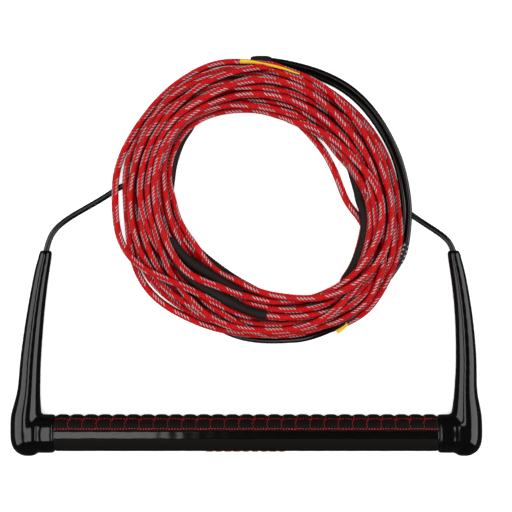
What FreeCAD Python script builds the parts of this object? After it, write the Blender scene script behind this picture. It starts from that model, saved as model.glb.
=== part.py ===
import FreeCAD, Part
import math
import os

# Tow rope handle with its line coiled beside it, lying on a floor.
# Millimetres, +Z up, +X along the bar, +Y from the bar towards the coiled line.
# The origin is under the middle of the handle, on the floor.

V = FreeCAD.Vector

# ---- driving dimensions ----------------------------------------------------
HANDLE_WIDTH = 381.0          # over both end caps: a 15 inch handle
HANDLE_DEPTH = 166.4          # from the bar's knobs to the tips of the arms
KNOB_BELOW_BAR = 18.0         # how far a knob stands out behind the bar's axis

TUBE_DIA = 22.0               # aluminium bar
TUBE_WALL = 1.5
GRIP_DIA = 28.4               # foam sleeve on the bar
COLLAR_DIA = 31.2             # moulded collar of each end cap
COLLAR_END = 154.6            # from the middle of the bar to a collar's mouth
COLLAR_SHORT = 16.0           # how far a collar stops short of its cap's outer face
GRIP_GAP = 0.5                # between the grip's end and a collar's mouth
TUBE_IN_CAP = 24.0            # how far the bar goes into each cap
SOCKET_ROOM = 0.5             # left past the bar's end, in the socket
PLUG_LENGTH = 32.0            # foam plug in each end of the bar
PLUG_SHORT = 0.5              # how far a plug stops short of the bar's end
GLUE_LINE = 0.1               # gap left for adhesive between concentric parts
OVERCUT = 1.0                 # how far a cutting tool runs past the face it opens

PAD_THICKNESS = 1.3           # quilted pad glued on the sleeve
PAD_SEGMENTS = 27
PAD_PITCH = 11.4
PAD_START_DEG = 16.0          # round the bar, from straight up towards the arms
PAD_END_DEG = 122.0
STITCH_WIDTH = 0.9
STITCH_HEIGHT = 0.5
STITCH_MARGIN_DEG = 3.0       # left between a cross stitch and a row
UPPER_ROW_DEG = 57.0
LOWER_ROW_DEG = 21.0
BAND_THICKNESS = 0.5          # glossy rubber band along the top of the sleeve
BAND_START_DEG = -11.0
BAND_END_DEG = 13.0
BADGE_BARS = 9
BADGE_PITCH = 7.6
BADGE_BAR_LENGTH = 4.8
BADGE_THICKNESS = 0.7
BADGE_START_DEG = -104.0
BADGE_END_DEG = -76.0

LEG_DIA = 4.6                 # coated bridle line
WHIPPING_DIA = 5.2            # thread wound over the bridle line
SLEEVE_DIA = 7.6              # cloth and shrink sleeves over doubled rope
TIP_BORE_DEPTH = 26.0
LEG_IN_TIP = 6.0              # how far a leg goes into its arm
BORE_GAP = 0.15
STOP_GAP = 0.2                # left past the ferrule on a leg's end
TIP_CUT = 4.0                 # how far the tip's bore runs out through the arm's end
SLEEVE_ROOM = 0.2             # clearance left round a sleeve in the coil's solids

COIL_CENTRE = V(13.5, 123.5, 0)
BRIDLE_LAYER = 5.0            # height of the bridle's turns, on the floor
LINE_LAYER = 6.9              # height of each section of the main line
UNDERCUT = 3.0                # how far the bridle's turns reach in under the line
TAPE_THICKNESS = 0.6
RING_GAP = 0.4                # between the two rings of the bridle

BAR_AXIS_Z = COLLAR_DIA / 2
BAR_Y = -HANDLE_DEPTH / 2 + KNOB_BELOW_BAR
HALF_WIDTH = HANDLE_WIDTH / 2

# One arm, from the knob to the tip. Each row: distance from the bar's axis,
# inner face and outer face from the middle of the handle, half thickness, and
# height of the middle above the floor.
ARM_STATIONS = [
    (-KNOB_BELOW_BAR, 172.5, 179.5, 3.0, 15.6),
    (-16.7, 168.5, 183.0, 6.0, 15.6),
    (-13.4, 165.5, 187.1, 10.2, 15.6),
    (-9.4, 164.6, 189.3, 13.2, 15.6),
    (-1.3, 164.4, HALF_WIDTH, 15.5, 15.6),
    (6.8, 164.8, HALF_WIDTH, 14.9, 15.5),
    (14.9, 165.7, 190.1, 13.2, 15.1),
    (23.0, 166.6, 188.5, 11.7, 14.2),
    (31.0, 167.4, 186.8, 10.8, 13.2),
    (39.1, 167.8, 185.9, 10.2, 12.4),
    (55.3, 168.2, 185.3, 9.5, 11.1),
    (71.5, 167.9, 184.1, 8.9, 10.1),
    (87.6, 167.2, 182.3, 8.4, 9.3),
    (103.8, 166.0, 180.0, 7.9, 8.6),
    (120.0, 164.3, 177.3, 7.3, 7.9),
    (136.1, 162.1, 173.9, 6.6, 7.1),
    (143.4, 161.1, 172.0, 6.2, 6.6),
    (147.2, 161.3, 170.9, 5.3, 6.3),
    (148.4, 162.6, 169.6, 3.9, 6.2),
]
SPLAY = 2.7                   # both tips are pulled this far to the right
SPLAY_FROM = 15.0
SPLAY_OVER = 105.0

# Outline of the coiled line, seen from above: outer and inner radius from the
# coil's centre, every 22.5 degrees from +X towards +Y.
COIL_OUTER = [112.4, 109.9, 107.0, 107.5, 111.6, 118.0, 119.0, 120.5,
              121.7, 121.2, 119.2, 114.1, 112.0, 118.8, 125.0, 121.5]
COIL_INNER = [78.4, 69.9, 62.9, 64.8, 68.3, 76.8, 85.3, 80.8,
              71.5, 66.3, 63.1, 66.3, 72.2, 83.3, 92.4, 84.1]
# The bridle's turns stand out from under the coil on its right and at its front.
BRIDLE_OUTER = [119.5, 119.5, 119.0, 117.0, 115.0, 116.5, 117.0, 118.5,
                119.0, 118.5, 117.0, 114.5, 115.5, 117.0, 118.0, 119.0]
LAYER_INSETS = [0.5, 0.0, 2.0, 5.5]   # a heap: narrower towards its top

# Routes of the free lines, from the arms to the coil. Each list is followed by
# straight runs joined by the largest arcs that fit.
LEG_ROUTES = {
    "left": [(-164.1, 77.3, 6.6), (-162.0, 89.1, 5.8), (-156.6, 100.0, 4.0),
             (-145.8, 108.9, 2.6), (-131.6, 117.1, 2.5), (-117.4, 125.2, 2.5),
             (-104.5, 132.2, 2.5)],
    "right": [(169.9, 77.3, 6.6), (167.6, 86.4, 5.8), (161.8, 93.6, 4.6),
              (153.6, 99.4, 3.4), (143.4, 106.0, 2.5), (132.3, 113.6, 2.5),
              (122.8, 120.5, 2.5)],
}

# Sleeves on the line's loops, lying on the coil's inner side and on its top.
SLEEVE_ROUTES = {
    "sleeve_inner_left": [(-45.6, 187.0, 14.8), (-51.4, 175.0, 15.5),
                          (-56.0, 161.0, 15.5), (-58.9, 146.0, 15.5),
                          (-60.2, 131.0, 14.8)],
    "sleeve_inner_right": [(88.0, 141.5, 14.3), (94.0, 127.5, 15.0),
                           (97.2, 112.0, 15.0), (96.6, 96.0, 15.0),
                           (91.9, 81.0, 15.0), (84.8, 67.5, 14.3)],
    "sleeve_front_middle": [(-58.5, 91.5, 21.7), (-48.5, 79.0, 22.4),
                            (-35.0, 69.0, 22.4), (-20.5, 61.3, 22.4),
                            (-5.3, 54.7, 22.4), (10.0, 48.9, 21.7)],
    "sleeve_front_ribbed": [(-36.5, 81.5, 10.6), (-25.0, 71.7, 11.0),
                            (-12.3, 63.0, 11.0), (1.2, 56.1, 11.0),
                            (15.2, 50.5, 10.6)],
    "sleeve_front_outer": [(-43.0, 58.5, 28.0), (-33.5, 52.0, 28.9), (-20.5, 46.8, 31.5),
                           (-7.2, 40.2, 33.5), (6.0, 35.6, 34.2), (18.4, 29.8, 32.2)],
}

APEX_SLEEVE_ROUTE = [(2.0, 236.2, 4.0), (13.0, 236.6, 4.0), (24.0, 234.9, 4.0)]
TAG_BACK_CORNERS = [(-5.5, 234.0), (20.0, 232.0), (35.0, 226.0),
                    (34.0, 224.0), (19.0, 229.5), (-5.5, 231.0)]
TAG_FRONT_CORNERS = [(72.4, 18.0), (81.0, 23.0), (75.8, 15.2)]
WHIPPING_ROUTE = [(131.2, 90.5, 2.6), (130.2, 81.5, 2.6), (127.4, 73.5, 2.6)]


# ---- helpers ---------------------------------------------------------------
def write(name, shape):
    shape.exportStep(os.path.join("parts", name + ".step"))
    print("%-22s volume %10.1f mm3" % (name, shape.Volume))


def tangent_path(name, points, dia):
    """Straight runs joined by tangent arcs, as large as their runs allow."""
    edges = []
    start = points[0]
    smallest = None
    for before, corner, after in zip(points, points[1:], points[2:]):
        back = before - corner
        ahead = after - corner
        turn = math.pi - back.getAngle(ahead)
        short = min(back.Length, ahead.Length)
        set_back = 0.45 * short
        radius = set_back / math.tan(turn / 2)
        smallest = radius if smallest is None else min(smallest, radius)
        enter = corner + back.normalize() * set_back
        leave = corner + ahead.normalize() * set_back
        towards = (enter + leave) * 0.5 - corner
        centre_far = math.hypot(radius, set_back)
        middle = corner + towards.normalize() * (centre_far - radius)
        edges.append(Part.LineSegment(start, enter).toShape())
        edges.append(Part.Arc(enter, middle, leave).toShape())
        start = leave
    edges.append(Part.LineSegment(start, points[-1]).toShape())
    wire = Part.Wire(edges)
    print("%-22s length %7.1f  smallest radius %5.1f = %4.1f diameters"
          % (name, wire.Length, smallest, smallest / dia))
    return wire


def tube_along(name, route, dia):
    """A plain round solid along a route."""
    points = [V(*p) for p in route]
    wire = tangent_path(name, points, dia)
    start_dir = (points[1] - points[0]).normalize()
    section = Part.Wire(Part.Circle(points[0], start_dir, dia / 2).toShape())
    solid = wire.makePipeShell([section], True, False)
    expected = math.pi * dia ** 2 / 4 * wire.Length
    print("%-22s volume / (section x length) = %.4f" % (name, solid.Volume / expected))
    return solid


def along_bar(x_from, x_to, radius):
    return Part.makeCylinder(radius, x_to - x_from, V(x_from, BAR_Y, BAR_AXIS_Z), V(1, 0, 0))


def bar_ring(x_from, x_to, outer, inner):
    return along_bar(x_from, x_to, outer).cut(along_bar(x_from - OVERCUT, x_to + OVERCUT, inner))


def bar_sector(x_from, x_to, outer, inner, start_deg, end_deg):
    """Part of a ring round the bar. Angles run from straight up towards +Y."""
    wedge = Part.makeCylinder(outer, x_to - x_from, V(0, 0, 0), V(0, 0, 1), end_deg - start_deg)
    hole = Part.makeCylinder(inner, x_to - x_from, V(0, 0, 0), V(0, 0, 1), end_deg - start_deg)
    shell = wedge.cut(hole)
    # The wedge starts along +X: tip it so that its axis is the bar's, its start is up.
    shell.rotate(V(0, 0, 0), V(0, 1, 0), -90)
    shell.rotate(V(0, 0, 0), V(1, 0, 0), -start_deg)
    shell.translate(V(x_to, BAR_Y, BAR_AXIS_Z))
    return shell


def splay_at(along):
    reach = min(max((along - SPLAY_FROM) / SPLAY_OVER, 0.0), 1.0)
    return SPLAY * math.sin(reach * math.pi / 2)


def closed_outline(radii, inset, z):
    """A smooth closed curve round the coil's centre."""
    count = len(radii)
    points = []
    for k, radius in enumerate(radii):
        angle = 2 * math.pi * k / count
        reach = radius - inset
        points.append(COIL_CENTRE + V(reach * math.cos(angle), reach * math.sin(angle), z))
    curve = Part.BSplineCurve()
    curve.interpolate(Points=points, PeriodicFlag=True)
    return Part.Wire(curve.toShape())


def ring_layer(outer, outer_inset, inner, inner_inset, z_from, height):
    """A flat ring between two outlines."""
    disc = Part.Face(closed_outline(outer, outer_inset, z_from)).extrude(V(0, 0, height))
    hole = Part.Face(closed_outline(inner, inner_inset, z_from)).extrude(V(0, 0, height))
    return disc.cut(hole)


# ---- the bar and its grip --------------------------------------------------
def bar_tube():
    reach = COLLAR_END + TUBE_IN_CAP
    return bar_ring(-reach, reach, TUBE_DIA / 2, TUBE_DIA / 2 - TUBE_WALL)


def tube_plug(side):
    inner = TUBE_DIA / 2 - TUBE_WALL - GLUE_LINE
    reach = COLLAR_END + TUBE_IN_CAP - PLUG_SHORT
    if side < 0:
        return along_bar(-reach, -reach + PLUG_LENGTH, inner)
    return along_bar(reach - PLUG_LENGTH, reach, inner)


def grip_sleeve():
    reach = COLLAR_END - GRIP_GAP
    return bar_ring(-reach, reach, GRIP_DIA / 2, TUBE_DIA / 2 + GLUE_LINE)


def on_grip(x_from, x_to, base, thickness, start_deg, end_deg):
    inner = GRIP_DIA / 2 + base
    return bar_sector(x_from, x_to, inner + thickness, inner, start_deg, end_deg)


def grip_band():
    reach = COLLAR_END - GRIP_GAP
    return on_grip(-reach, reach, GLUE_LINE / 2, BAND_THICKNESS, BAND_START_DEG, BAND_END_DEG)


def pad_half_length():
    return PAD_SEGMENTS * PAD_PITCH / 2


def grip_pad():
    reach = pad_half_length()
    return on_grip(-reach, reach, GLUE_LINE / 2, PAD_THICKNESS, PAD_START_DEG, PAD_END_DEG)


def stitch_row(middle_deg):
    reach = pad_half_length()
    base = PAD_THICKNESS + GLUE_LINE / 2
    half_turn = math.degrees(STITCH_WIDTH / 2 / (GRIP_DIA / 2 + base))
    return on_grip(-reach, reach, base, STITCH_HEIGHT, middle_deg - half_turn, middle_deg + half_turn)


def cross_stitches():
    base = PAD_THICKNESS + GLUE_LINE / 2
    bars = []
    for k in range(1, PAD_SEGMENTS):
        x = -pad_half_length() + k * PAD_PITCH
        bars.append(on_grip(x - STITCH_WIDTH / 2, x + STITCH_WIDTH / 2, base, STITCH_HEIGHT,
                            LOWER_ROW_DEG + STITCH_MARGIN_DEG, UPPER_ROW_DEG - STITCH_MARGIN_DEG))
    return Part.makeCompound(bars)


def grip_badge():
    bars = []
    for k in range(BADGE_BARS):
        x = (k - (BADGE_BARS - 1) / 2) * BADGE_PITCH
        bars.append(on_grip(x - BADGE_BAR_LENGTH / 2, x + BADGE_BAR_LENGTH / 2, GLUE_LINE / 2,
                            BADGE_THICKNESS, BADGE_START_DEG, BADGE_END_DEG))
    return Part.makeCompound(bars)


# ---- end caps --------------------------------------------------------------
def arm_section(side, along, inner, outer, half_thickness, height):
    """One oval section of an arm, across the arm."""
    x = side * (inner + outer) / 2 + splay_at(along)
    half_width = (outer - inner) / 2
    centre = V(x, BAR_Y + along, height)
    if half_width >= half_thickness:
        oval = Part.Ellipse(centre + V(half_width, 0, 0), centre + V(0, 0, half_thickness), centre)
    else:
        oval = Part.Ellipse(centre + V(0, 0, half_thickness), centre + V(half_width, 0, 0), centre)
    return Part.Wire(oval.toShape())


def tip_axis(side):
    """Middle of an arm's end face and the way into the arm."""
    route = LEG_ROUTES["left" if side < 0 else "right"]
    inside = (V(*route[0]) - V(*route[1])).normalize()
    mouth = V(*route[0]) - inside * LEG_IN_TIP
    return mouth, inside


def end_cap(side):
    sections = [arm_section(side, *row) for row in ARM_STATIONS]
    arm = Part.makeLoft(sections, True, False)
    bore_reach = COLLAR_END + TUBE_IN_CAP + SOCKET_ROOM
    if side < 0:
        collar = along_bar(-HALF_WIDTH + COLLAR_SHORT, -COLLAR_END, COLLAR_DIA / 2)
        socket = along_bar(-bore_reach, -COLLAR_END + OVERCUT, TUBE_DIA / 2 + GLUE_LINE)
    else:
        collar = along_bar(COLLAR_END, HALF_WIDTH - COLLAR_SHORT, COLLAR_DIA / 2)
        socket = along_bar(COLLAR_END - OVERCUT, bore_reach, TUBE_DIA / 2 + GLUE_LINE)
    cap = arm.fuse(collar)
    cap = cap.cut(socket)
    mouth, inside = tip_axis(side)
    bore = Part.makeCylinder(LEG_DIA / 2 + BORE_GAP, TIP_BORE_DEPTH + TIP_CUT,
                             mouth - inside * TIP_CUT, inside)
    return cap.cut(bore)


def leg_stop(side):
    """Crimped ferrule on the leg's end, moulded into the arm."""
    mouth, inside = tip_axis(side)
    depth = TIP_BORE_DEPTH - LEG_IN_TIP - STOP_GAP
    return Part.makeCylinder(LEG_DIA / 2 + BORE_GAP / 2, depth, mouth + inside * LEG_IN_TIP, inside)


# ---- the coiled line -------------------------------------------------------
def bridle_rings():
    """The wound part of each leg: two flat rings, one inside the other."""
    middle = [(outer + inner) / 2 for outer, inner in zip(BRIDLE_OUTER, COIL_INNER)]
    outer_ring = ring_layer(BRIDLE_OUTER, 0, middle, -RING_GAP / 2, 0, BRIDLE_LAYER)
    inner_ring = ring_layer(middle, RING_GAP / 2, COIL_INNER, -UNDERCUT, 0, BRIDLE_LAYER)
    return outer_ring, inner_ring


def line_layer(number):
    inset = LAYER_INSETS[number]
    z = BRIDLE_LAYER + number * LINE_LAYER
    return ring_layer(COIL_OUTER, inset, COIL_INNER, -inset, z, LINE_LAYER)


def tag(corners):
    """A flat piece of tape lying on the coil."""
    top = BRIDLE_LAYER + LINE_LAYER * len(LAYER_INSETS)
    points = [V(x, y, top) for x, y in corners]
    face = Part.Face(Part.makePolygon(points + points[:1]))
    return face.extrude(V(0, 0, TAPE_THICKNESS))


def main():
    os.makedirs("parts", exist_ok=True)

    write("bar_tube", bar_tube())
    write("tube_plug_left", tube_plug(-1))
    write("tube_plug_right", tube_plug(1))
    write("grip_sleeve", grip_sleeve())
    write("grip_band", grip_band())
    write("grip_pad", grip_pad())
    write("stitch_row_upper", stitch_row(UPPER_ROW_DEG))
    write("stitch_row_lower", stitch_row(LOWER_ROW_DEG))
    write("cross_stitches", cross_stitches())
    write("grip_badge", grip_badge())
    write("end_cap_left", end_cap(-1))
    write("end_cap_right", end_cap(1))
    write("leg_stop_left", leg_stop(-1))
    write("leg_stop_right", leg_stop(1))

    outer_ring, inner_ring = bridle_rings()
    whipping = tube_along("line_whipping", WHIPPING_ROUTE, WHIPPING_DIA)
    apex = tube_along("apex_sleeve", APEX_SLEEVE_ROUTE, SLEEVE_DIA)
    outer_ring = outer_ring.cut(whipping).cut(apex)
    write("bridle_turns_left", outer_ring)
    write("bridle_turns_right", inner_ring)
    write("line_whipping", whipping)
    for side in ("left", "right"):
        leg = tube_along("leg_" + side, LEG_ROUTES[side], LEG_DIA)
        write("leg_" + side, leg.cut(outer_ring).Solids[0])

    room = [tube_along("room for the apex sleeve", APEX_SLEEVE_ROUTE, SLEEVE_DIA + 2 * SLEEVE_ROOM)]
    for name, route in SLEEVE_ROUTES.items():
        write(name, tube_along(name, route, SLEEVE_DIA))
        room.append(tube_along("room for " + name, route, SLEEVE_DIA + 2 * SLEEVE_ROOM))
    for number in range(len(LAYER_INSETS)):
        write("line_section_%d" % (number + 1), line_layer(number).cut(room))
    write("apex_sleeve", apex)
    write("tag_back", tag(TAG_BACK_CORNERS))
    write("tag_front", tag(TAG_FRONT_CORNERS))


main()
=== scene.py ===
import math
import bpy
import numpy as np
from mathutils import Matrix, Vector


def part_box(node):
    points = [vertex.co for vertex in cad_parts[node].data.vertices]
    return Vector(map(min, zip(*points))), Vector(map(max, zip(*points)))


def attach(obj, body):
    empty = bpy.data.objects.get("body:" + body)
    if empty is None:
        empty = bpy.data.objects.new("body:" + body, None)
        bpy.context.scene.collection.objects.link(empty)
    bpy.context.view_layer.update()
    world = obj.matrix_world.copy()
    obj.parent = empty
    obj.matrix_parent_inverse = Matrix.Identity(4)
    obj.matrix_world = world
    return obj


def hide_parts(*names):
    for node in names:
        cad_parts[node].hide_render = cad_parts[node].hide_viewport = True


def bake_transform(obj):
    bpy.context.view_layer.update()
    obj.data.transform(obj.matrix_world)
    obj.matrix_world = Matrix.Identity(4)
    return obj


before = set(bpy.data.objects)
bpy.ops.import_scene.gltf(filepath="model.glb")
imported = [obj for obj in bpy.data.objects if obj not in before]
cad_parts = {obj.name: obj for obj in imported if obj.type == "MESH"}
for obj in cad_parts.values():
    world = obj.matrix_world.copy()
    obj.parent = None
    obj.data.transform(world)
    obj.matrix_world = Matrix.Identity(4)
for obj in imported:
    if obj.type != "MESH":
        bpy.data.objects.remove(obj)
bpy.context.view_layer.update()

# A tow rope handle lying on a pale floor with its line coiled beside it.
# Metres, +Z up, +X along the bar, +Y from the bar towards the coil.

MM = 0.001

# ---- sizes, repeated from the part's source ---------------------------------
LEG_DIA = 4.6 * MM
ROPE_DIA = 5.7 * MM
SLEEVE_DIA = 7.6 * MM
WIDE_SLEEVE_DIA = 8.8 * MM
GRIP_RADIUS = 14.2 * MM
TUBE_RADIUS = 11.0 * MM
BAR_Y = -65.2 * MM
BAR_Z = 15.6 * MM
WAIST_X = 168.3 * MM
COIL_CENTRE = (13.5, 123.5)           # millimetres, as is the rest of the coil's table
BRAID_PITCH = 22.8 * MM                # one turn of a carrier round the rope
CARRIERS = 8                           # in each direction
PAD_SEGMENTS = 27
PAD_PITCH = 11.4 * MM
PAD_START = -PAD_SEGMENTS * PAD_PITCH / 2
PAD_FROM, PAD_TO = 16.0, 122.0         # degrees round the bar from straight up
LOWER_ROW, UPPER_ROW = 21.0, 57.0      # the pad's two stitched rows, likewise
SIDES = ("left", "right")

# Where the two tapes lie, in millimetres.
TAPE_BACK = [(-5.3, 236.4), (3.8, 235.9), (12.7, 234.0), (24.0, 231.5),
             (35.0, 228.0), (43.0, 225.0)]
TAPE_FRONT = [(73.6, 16.2), (77.6, 19.4), (82.0, 23.2)]

LEG_ROUTES = {
    "left": [(-164.1, 77.3, 6.6), (-162.0, 89.1, 5.8), (-156.6, 100.0, 4.0),
             (-145.8, 108.9, 2.6), (-131.6, 117.1, 2.5), (-117.4, 125.2, 2.5),
             (-104.5, 134.0, 2.5), (-94.0, 138.5, 2.5), (-84.5, 136.0, 2.5), (-79.5, 127.0, 2.5)],
    "right": [(169.9, 77.3, 6.6), (167.6, 86.4, 5.8), (161.8, 93.6, 4.6),
              (153.6, 99.4, 3.4), (143.4, 106.0, 2.5), (132.3, 113.6, 2.5), (122.8, 121.5, 2.5)],
}


# ---- the coil: where its turns lie -------------------------------------------
def turned(guides, turns):
    return [(angle + 360 * turns, radius, height) for angle, radius, height in guides]


def level(guides, height):
    return [(angle, radius, height) for angle, radius in guides]


# Radii are in millimetres from the coil's centre, every 22.5 degrees from +X
# towards +Y. The limits hold for the line's middle in the hidden lower turns.
LOW_OUTER = [102.5, 101.5, 98.5, 99.5, 105.5, 112.5, 112.0, 109.5,
             104.0, 106.0, 110.5, 106.0, 102.5, 108.0, 114.0, 110.5]
LOW_INNER = [84.5, 74.0, 66.5, 68.5, 72.0, 80.5, 89.0, 86.0,
             76.5, 70.5, 67.5, 71.0, 77.0, 87.5, 96.0, 91.0]

# The last section's turns, which lie on top. One row a turn, one radius each 22.5
# degrees. Neighbouring rows swap places where the turns cross.
TOP_TURNS = [
    [100.7, 95.0, 92.2, 86.5, 90.5, 97.4, 105.1, 105.9,
     105.9, 107.5, 104.7, 98.6, 98.5, 103.5, 112.9, 111.6],
    [96.2, 100.6, 97.8, 98.6, 104.6, 112.2, 111.4, 112.0,
     109.9, 114.6, 118.6, 113.0, 107.9, 114.0, 122.0, 118.8],
    [107.5, 106.3, 103.5, 104.3, 108.3, 103.5, 99.4, 99.8,
     98.6, 93.3, 90.1, 94.8, 103.5, 109.1, 118.8, 101.9],
    [90.5, 88.9, 85.7, 93.0, 96.6, 91.3, 94.2, 93.8,
     91.8, 88.7, 95.8, 105.9, 103.5, 109.1, 100.2, 95.8],
    [85.7, 83.3, 79.2, 80.8, 84.5, 85.7, 90.9, 89.7,
     86.1, 83.3, 81.6, 78.2, 81.2, 87.3, 95.0, 95.8],
    [96.2, 77.6, 72.8, 68.7, 71.9, 80.0, 88.5, 86.1,
     74.4, 67.9, 67.5, 70.9, 74.0, 85.3, 100.2, 106.7],
]
# Its first stretch, from its sleeve, and its last turn: angle, radius and height.
TOP_START = [(214, 84.6, 14), (221, 86.2, 14), (226, 87.2, 14), (231, 86.4, 18), (236, 85.0, 28),
             (242, 83.6, 38), (250.6, 83.6, 42), (259, 85.5, 42), (266.9, 88.6, 42), (272.7, 93.2, 42),
             (280, 96.2, 38), (292, 98.6, 30), (315, 105.9, 24), (337, 106.7, 24)]
TOP_END = [(0, 100.7, 36), (22.5, 95.0, 36), (45, 97.8, 36), (67.5, 103.8, 34), (85, 106.6, 32),
           (93, 109.8, 30), (100, 114.8, 28), (110, 118.9, 24), (120, 118.2, 20), (130, 118.5, 18),
           (140, 117.8, 16), (150, 118.3, 14), (160, 120.2, 11), (170, 121.9, 10), (180, 119.6, 10),
           (190, 120.6, 10), (199, 120.6, 16), (206, 115.6, 26), (210, 110.6, 34), (219, 100.0, 38),
           (228, 92.8, 38), (236, 90.2, 38), (244, 89.4, 34), (252, 92.0, 26), (262, 96.5, 20),
           (270, 99.0, 20), (290, 99.0, 20), (303, 101.0, 16),
           (313, 100.0, 10), (318.5, 97.6, 10), (324, 93.8, 10), (331.5, 90.8, 12), (343, 89.0, 14),
           (355.5, 84.6, 13), (363, 82.6, 12), (370.5, 80.8, 10), (376, 79.2, 9), (382, 78.0, 8),
           (390, 78.6, 7)]
# Heights of a leg's middle on the floor, and where it lies on the other leg.
ON_FLOOR = 2.4
ON_LEG = 5.6
# The leg lines near their starts, then where they show outside the coil.
LEFT_UNDER = level([(190, 92.5), (205, 92.0), (215, 91.5)], ON_FLOOR)
LEFT_SHOWN = (level([(235, 100.0), (250, 110.6), (261, 113.6), (274, 114.8)], ON_FLOOR)
              + [(284, 116.2, 7.0), (293, 118.3, 11.0), (304, 119.6, 11.0), (311, 119.9, 9.0),
                 (318, 119.2, 4.0)]
              + level([(324, 119.8), (330, 121.2), (336, 123.4), (343, 122.8), (349, 120.0),
                       (358, 117.9), (370, 116.7), (378, 116.4), (387, 115.3), (397, 115.6),
                       (405, 116.2), (413, 116.3), (423, 114.8), (436, 113.4), (445, 113.8),
                       (455, 113.8)], ON_FLOOR))
RIGHT_UNDER = level([(5, 103.5), (15, 97.0), (25, 92.0)], ON_FLOOR)
RIGHT_LOWER = level([(250, 100.0), (261, 107.6), (270, 110.2), (280, 111.2), (290, 109.0)], ON_FLOOR)
RIGHT_SHOWN = ([(320, 107.0, ON_FLOOR), (325, 113.0, ON_FLOOR), (329, 116.0, 3.5)]
               + level([(337, 119.2), (343, 119.0), (349, 117.0), (358, 114.4), (370, 113.3),
                        (378, 113.1), (387, 112.0), (397, 112.3), (405, 112.8), (413, 112.8),
                        (423, 111.3)], ON_LEG)
               + [(436, 109.5, 5.2), (445, 111.0, ON_LEG), (455, 111.8, 6.6)])
# A loose loop of the line hanging into the coil's middle.
LOOP = [(336, 96.0, 6), (344, 88.0, 6), (351, 78.6, 5), (354.5, 72.2, 4), (358, 68.8, 4), (362, 66.4, 4),
        (371, 64.0, 4), (382, 63.0, 4), (391, 63.0, 4), (400, 63.9, 5), (410, 64.8, 6), (420, 67.6, 8),
        (432, 73.0, 10)]
# Turns near the floor beside the gap at the coil's lower left.
BESIDE_GAP = level([(180, 104.6), (190, 105.4), (197, 108.4), (203, 110.9), (208, 112.4), (213, 113.0),
                    (219, 112.2), (225, 110.2), (235, 108.8), (243, 107.6), (250, 105.5)], 4)
# The second top turn where it is the coil's outermost, on the left and at the lower right.
OUTER_LEFT = [(135, 111.6, 12), (150, 112.8, 10), (158, 114.6, 8), (164, 115.2, 8), (169, 113.8, 8),
              (176, 111.4, 8), (183, 110.7, 8), (190, 111.3, 8), (197, 113.4, 8), (204, 116.2, 6),
              (209, 118.2, 4), (214, 119.5, 4), (219, 119.2, 4), (225, 117.8, 4), (235, 114.2, 4),
              (241, 112.0, 6), (250, 110.2, 8), (257, 109.4, 10)]
OUTER_LOWER = [(270, 108.6, 10), (282, 111.6, 3), (292.3, 116.0, 3), (301, 120.8, 3), (308, 122.2, 3),
               (316, 122.8, 4), (322, 121.4, 8), (328, 119.8, 12), (335, 118.8, 15), (342, 117.2, 18),
               (349, 114.4, 20), (357, 109.8, 22), (365, 108.6, 24)]
# The middle sleeve, which lies on top between its ends.
MIDDLE_SLEEVE = [(196, 83.4, 18), (203, 81.6, 22), (208, 80.3, 34), (214, 78.8, 42), (219, 77.2, 42),
                 (228, 74.6, 40), (235, 73.2, 38), (241, 72.8, 32), (246, 73.2, 26), (253, 74.4, 18),
                 (264, 77.0, 12), (274, 79.8, 12)]
# The fifth top turn, which crosses over the middle sleeve.
OVER_SLEEVE = [(190, 85.0, 30), (202, 83.4, 32), (208, 83.8, 32), (216, 84.8, 32), (222.5, 85.2, 36),
               (230, 83.2, 38), (238.5, 79.0, 38), (247.5, 77.4, 34)]
# A low turn that peeps out inside the right sleeve.
INSIDE_RIGHT = level([(300, 101.0), (312, 97.6), (318.6, 94.0), (324, 91.0), (331.6, 87.8),
                      (340, 86.2), (350, 84.5), (362, 86.0)], 5)
# The first section's start from the apex, then the two sleeves low in the coil.
ONE_START = level([(95, 105.0), (104, 110.0), (115, 111.6), (125, 109.0)], 4)
INNER_SLEEVE = level([(131, 87.2), (136, 85.4), (144, 83.0), (151.5, 80.6), (159.5, 79.2), (167, 77.8),
                      (174, 77.6), (186, 79.5)], 12.6)
RIBBED_SLEEVE = level([(208, 69.8), (220, 67.4), (230, 66.2), (240, 66.0), (250, 68.0), (260, 71.0),
                       (269, 75.2)], 9.3)
LAST_TURN = 360 * 7                    # added to the angles of what lies on a section's last turn

# Where each leg passes under the coil to its first turn: from, to, and how far in.
LEGS_UNDER = [(170, 180, 90.0), (355, 360, 102.0)]

STATIONS = 72                          # places round the coil where turns are held apart
STEP_DEG = 360 / STATIONS
ROW_STEP = 22.5                        # degrees between two radii of a top turn
COIL_SEED = 11
# A pull is the share of the way back to its table that a turn goes in each round of settling.
HIDDEN_PULL = 0.02
TOP_PULL = 0.12
# Hidden turns drift from lane to lane across the coil's width, and climb a little each turn.
KNOT_STEP = 75.0
FIRST_LANE = (0.1, 0.9)
DRIFT = 0.42
CLIMB = 0.6
TOP_HEIGHT, TOP_STEP = 24.0, 1.4       # where the top turns start from, and how far each is higher
# Settling: every round the turns drop, straighten and are pressed apart.
ROUNDS = 620
DROP, LEAST_DROP = 0.34, 0.01
SLOWING = 1.5                          # the drop is steady for a third of the rounds, then shrinks
STRAIGHTENING = 0.35
STRAIGHTENINGS = 2
PRESSING = 0.8
PRESSINGS = 4
TOUCHING = 0.985                       # turns sink into each other by what is left
FLOOR_GAP = 0.1
TINY = 1e-6


def table_at(table, degrees):
    """A table of radii read at any angle, smoothly."""
    count = len(table)
    at = (np.asarray(degrees) % 360) / 360 * count
    k = np.floor(at).astype(int)
    t = at - k
    p = [np.take(table, (k + o) % count) for o in (-1, 0, 1, 2)]
    return 0.5 * (2 * p[1] + (p[2] - p[0]) * t + (2 * p[0] - 5 * p[1] + 4 * p[2] - p[3]) * t ** 2
                  + (3 * p[1] - p[0] - 3 * p[2] + p[3]) * t ** 3)


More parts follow.
